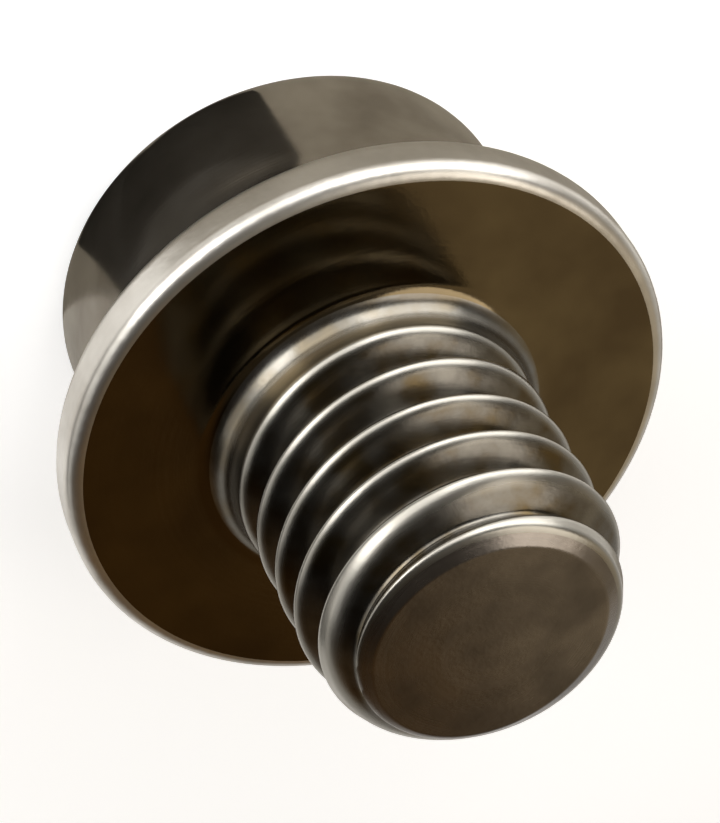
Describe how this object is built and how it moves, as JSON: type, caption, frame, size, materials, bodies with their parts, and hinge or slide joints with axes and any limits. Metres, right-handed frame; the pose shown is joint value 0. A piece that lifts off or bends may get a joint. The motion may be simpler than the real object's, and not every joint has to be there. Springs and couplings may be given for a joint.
{
  "type": "flanged socket bolt",
  "caption": "Short steel bolt with a tall round flanged head, a hexagon socket in its end and a coarse right-hand thread.",
  "frame": {"origin": "on the bolt's axis at the flange's bearing face", "axes": "+Z along the shank towards the tip, the head's socket end faces -Z"},
  "size_m": [0.008, 0.008, 0.0078],
  "materials": {
    "steel": "bare turned and rolled steel, bright on the edges and satin on the faces"
  },
  "bodies": {
    "root": {"bolt": "steel"}
  },
  "joints": []
}
